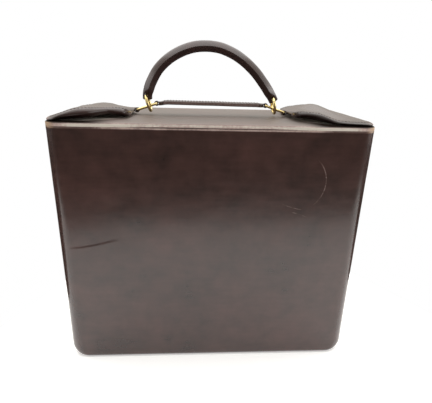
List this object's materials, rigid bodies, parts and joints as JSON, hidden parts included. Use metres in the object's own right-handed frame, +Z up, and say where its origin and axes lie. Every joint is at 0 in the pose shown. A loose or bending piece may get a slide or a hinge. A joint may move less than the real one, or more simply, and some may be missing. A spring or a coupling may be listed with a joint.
{
  "type": "vanity case",
  "caption": "Upright box-shaped leather vanity case with a hinged lid, arched leather ears, brass links and rings, a narrow top strap and a rolled handle",
  "frame": {"origin": "middle of the base, on the surface that the case stands on", "axes": "+Z up, +X along the width to the right of the hinge face, +Y along the depth away from the hinge face"},
  "size_m": [0.3, 0.145, 0.3256],
  "materials": {
    "leather": "smooth dark brown calf, semi-gloss",
    "brass": "polished"
  },
  "bodies": {
    "case": {"case_body": "leather"},
    "lid": {"lid": "leather", "ear_left": "leather", "ear_right": "leather", "link_left": "brass", "link_right": "brass", "strap": "leather"},
    "handle": {"handle": "leather", "handle_ring_left": "brass", "handle_ring_right": "brass"}
  },
  "joints": [
    {"name": "lid_hinge", "type": "hinge", "parent": "case", "child": "lid", "pos_m": [0, -0.0725, 0.249], "axis": [1, 0, 0], "range_deg": [0, 100]},
    {"name": "handle_swing", "type": "hinge", "parent": "lid", "child": "handle", "pos_m": [0, 0, 0.26387], "axis": [1, 0, 0], "range_deg": [-80, 80]}
  ]
}
